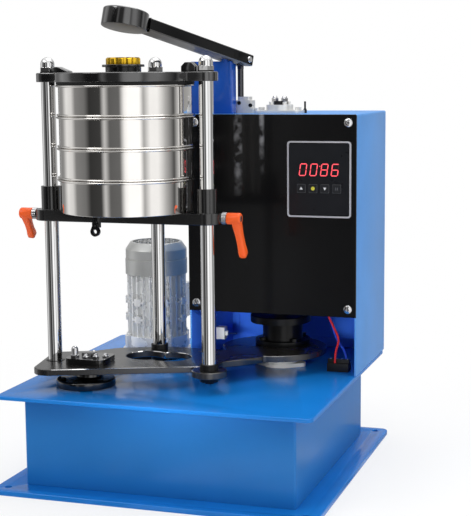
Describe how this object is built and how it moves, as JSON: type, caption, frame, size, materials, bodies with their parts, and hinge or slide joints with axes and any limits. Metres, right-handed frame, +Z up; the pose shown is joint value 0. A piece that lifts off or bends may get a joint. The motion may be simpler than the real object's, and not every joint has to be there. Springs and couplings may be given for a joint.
{
  "type": "sieve shaker",
  "caption": "Bench sieve shaker: a stack of round sieves on an orbiting three-pillar carriage, with a cam-lifted tapping arm above and a display housing behind.",
  "frame": {"origin": "centre of the base's four mounting holes, on the floor", "axes": "+Z up, +X to the right and +Y to the back, seen from the side of the sieves"},
  "size_m": [0.515, 0.5255, 0.7397],
  "materials": {
    "deck_blue": "glossy blue paint",
    "base_blue": "textured blue paint",
    "housing_blue": "orange-peel blue paint",
    "post_blue": "glossy dark blue paint",
    "motor_silver": "silver-grey paint on a finned casting",
    "panel_black": "gloss black",
    "display_black": "gloss black",
    "bezel_grey": "silver grey",
    "board_green": "solder mask",
    "key_grey": "keys",
    "steel": "turned steel",
    "sieve_steel": "polished sheet steel",
    "mesh_steel": "woven wire",
    "chrome": "polished",
    "aluminium": "turned",
    "cast_white": "white paint on a casting",
    "cast_dark": "dark machined iron",
    "plate_dark": "glossy dark grey",
    "black_plastic": "black moulding",
    "lever_orange": "orange moulding",
    "plug_yellow": "yellow polymer plug",
    "black_paint": "gloss black paint",
    "seal_rubber": "seal ring",
    "belt_rubber": "drive belt",
    "red_lead": "red insulation",
    "blue_lead": "blue insulation"
  },
  "bodies": {
    "frame": {"base_plate": "deck_blue", "base_walls": "base_blue", "base_hatch": "base_blue", "deck": "deck_blue", "cover_screws": "chrome", "housing_shell": "housing_blue", "front_panel": "panel_black", "rear_cover": "housing_blue", "display_bezel": "bezel_grey", "display_face": "display_black", "control_board": "board_green", "hammer_post": "post_blue", "pivot_pin": "black_paint", "gear_shelf": "steel", "rod_guide": "steel", "upper_bearing": "steel", "main_bearings": "cast_white", "drive_belt": "belt_rubber", "crank_bearing": "cast_white", "motor_body": "motor_silver", "fan_cover": "motor_silver", "terminal_block": "black_plastic", "cable_gland": "black_plastic", "lead_red": "red_lead", "lead_blue": "blue_lead"},
    "drive": {"main_shaft": "steel", "drive_pinion": "steel", "counterweight": "cast_dark", "drive_pulley": "aluminium"},
    "crank": {"left_crank": "black_paint"},
    "rotor": {"motor_rotor": "steel"},
    "cam_shaft": {"cam_gear": "steel"},
    "hammer": {"tapping_arm": "black_paint", "arm_weight": "black_paint", "tail_bolt": "steel"},
    "rod": {"lift_rod": "black_paint"},
    "carriage": {"moving_plate": "plate_dark", "main_flange": "black_paint", "crank_flange": "black_paint", "pillars": "chrome", "pillar_feet": "black_plastic", "pillar_nuts": "chrome", "top_cover": "black_paint", "cover_clamps": "black_plastic", "plug_collar": "black_paint", "tapping_plug": "plug_yellow"},
    "stage": {"support_stage": "black_paint", "receiver_pan": "sieve_steel", "sieve_1": "sieve_steel", "sieve_2": "sieve_steel", "sieve_3": "sieve_steel", "sieve_meshes": "mesh_steel", "cover_seal": "seal_rubber"},
    "left_lever": {"lever_left": "lever_orange"},
    "right_lever": {"lever_right": "lever_orange"},
    "latch": {"latch_ring": "steel"},
    "up_key": {"key_up": "key_grey"},
    "mode_key": {"key_mode": "key_grey"},
    "down_key": {"key_down": "key_grey"},
    "start_key": {"key_start": "key_grey"}
  },
  "joints": [
    {"name": "carriage_spin", "type": "hinge", "parent": "drive", "child": "carriage", "pos_m": [0.109, 0.095, 0.18], "axis": [0, 0, 1], "continuous": true},
    {"name": "main_spin", "type": "hinge", "parent": "frame", "child": "drive", "pos_m": [0.109, 0.081, 0.18], "axis": [0, 0, 1], "continuous": true},
    {"name": "crank_spin", "type": "hinge", "parent": "frame", "child": "crank", "pos_m": [-0.144, -0.146, 0.18], "axis": [0, 0, 1], "continuous": true},
    {"name": "motor_spin", "type": "hinge", "parent": "frame", "child": "rotor", "pos_m": [-0.121, 0.104, 0.18], "axis": [0, 0, 1], "continuous": true},
    {"name": "cam_spin", "type": "hinge", "parent": "frame", "child": "cam_shaft", "pos_m": [0.06799, 0.13926, 0.18], "axis": [0, 0, 1], "continuous": true},
    {"name": "hammer_swing", "type": "hinge", "parent": "frame", "child": "hammer", "pos_m": [0.02538, 0.06229, 0.668], "axis": [-0.91, 0.4147, 0], "range_deg": [-10.3, 0]},
    {"name": "rod_slide", "type": "slide", "parent": "frame", "child": "rod", "axis": [0, 0, 1], "range_m": [0, 0.006]},
    {"name": "stage_slide", "type": "slide", "parent": "carriage", "child": "stage", "axis": [0, 0, 1], "range_m": [-0.18, 0]},
    {"name": "lever_left_turn", "type": "hinge", "parent": "stage", "child": "left_lever", "pos_m": [-0.242, -0.14, 0.423], "axis": [1, 0, 0], "range_deg": [-100, 20]},
    {"name": "lever_right_turn", "type": "hinge", "parent": "stage", "child": "right_lever", "pos_m": [0.1, -0.14, 0.423], "axis": [1, 0, 0], "range_deg": [-75, 45]},
    {"name": "latch_swing", "type": "hinge", "parent": "stage", "child": "latch", "pos_m": [-0.111, -0.17, 0.41], "axis": [0, 1, 0], "range_deg": [-60, 60]},
    {"name": "up_press", "type": "slide", "parent": "frame", "child": "up_key", "axis": [0, 1, 0], "range_m": [0, 0.0008], "stiffness_N_per_m": 300},
    {"name": "mode_press", "type": "slide", "parent": "frame", "child": "mode_key", "axis": [0, 1, 0], "range_m": [0, 0.0008], "stiffness_N_per_m": 300},
    {"name": "down_press", "type": "slide", "parent": "frame", "child": "down_key", "axis": [0, 1, 0], "range_m": [0, 0.0008], "stiffness_N_per_m": 300},
    {"name": "start_press", "type": "slide", "parent": "frame", "child": "start_key", "axis": [0, 1, 0], "range_m": [0, 0.0008], "stiffness_N_per_m": 300}
  ],
  "couplings": [
    {"joint": "main_spin", "follows": "carriage_spin", "ratio": -1},
    {"joint": "crank_spin", "follows": "carriage_spin", "ratio": -1},
    {"joint": "motor_spin", "follows": "carriage_spin", "ratio": -4.7},
    {"joint": "cam_spin", "follows": "carriage_spin", "ratio": 0.54054},
    {"joint": "rod_slide", "follows": "hammer_swing", "m_per_rad": -0.0327}
  ]
}
